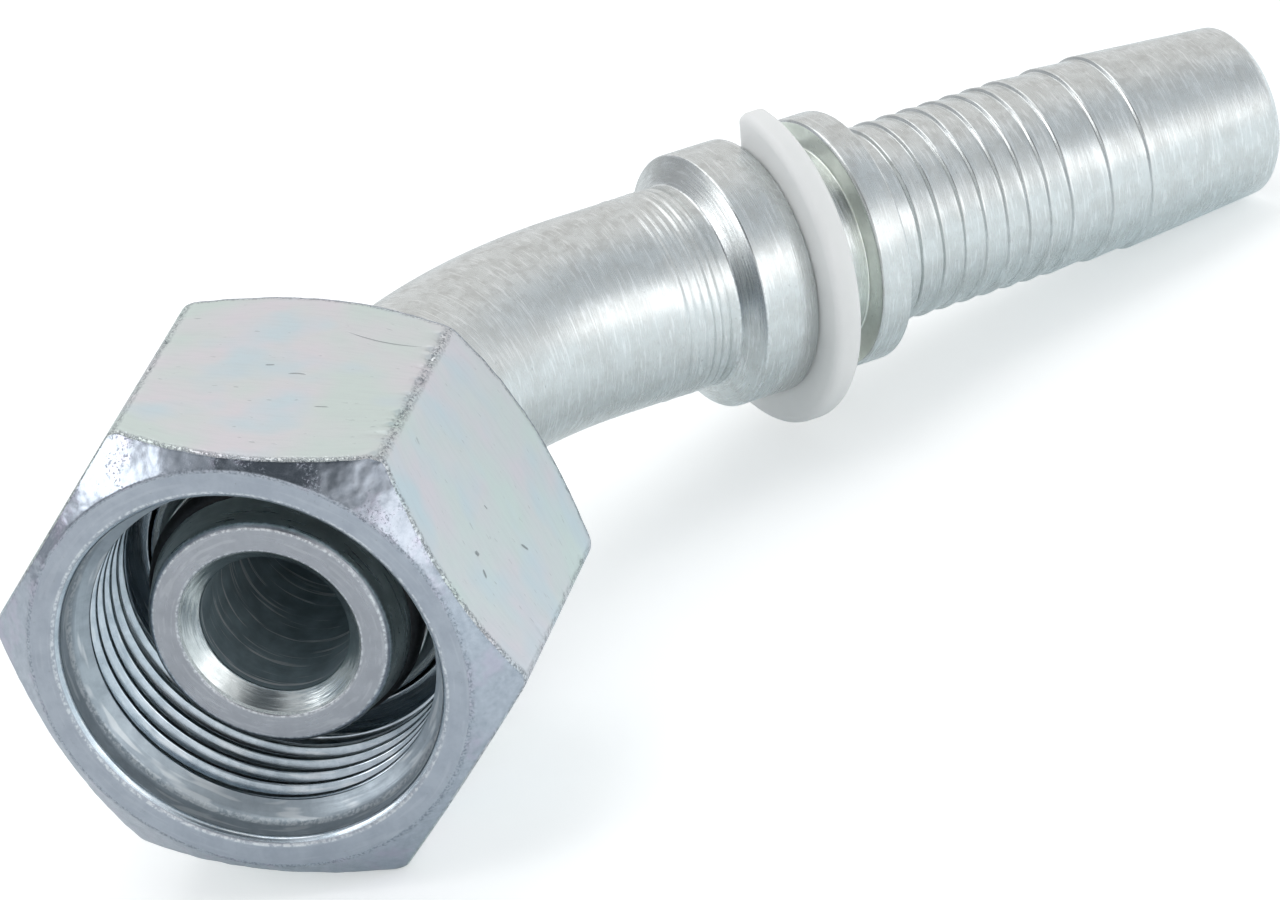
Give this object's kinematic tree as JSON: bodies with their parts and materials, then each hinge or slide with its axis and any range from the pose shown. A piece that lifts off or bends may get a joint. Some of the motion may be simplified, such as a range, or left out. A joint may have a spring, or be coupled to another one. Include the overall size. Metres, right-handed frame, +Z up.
{
  "type": "hydraulic hose fitting",
  "caption": "Elbow hose fitting: bent steel stem with a barbed tail, O-ring cone nose, hexagon swivel nut with female thread and an open locking clip.",
  "frame": {"origin": "centre of the nose's front face, on the axis of the nose leg and of the nut", "axes": "-X points out of the nose and the nut's mouth, the tail leg leaves towards +X and -Y, +Z is up as the fitting lies"},
  "size_m": [0.0891, 0.0669, 0.0332],
  "materials": {
    "zinc_steel_stem": "turned steel, bright zinc plated",
    "zinc_steel_nut": "drawn hexagon bar, bright zinc plated",
    "seal_rubber": "black nitrile rubber",
    "clip_nylon": "natural white nylon"
  },
  "bodies": {
    "stem": {"elbow_stem": "zinc_steel_stem", "nose_o_ring": "seal_rubber", "locking_clip": "clip_nylon"},
    "nut": {"swivel_nut": "zinc_steel_nut"}
  },
  "joints": [
    {"name": "nut_spin", "type": "hinge", "parent": "stem", "child": "nut", "pos_m": [0, 0, 0], "axis": [-1, 0, 0], "continuous": true}
  ]
}
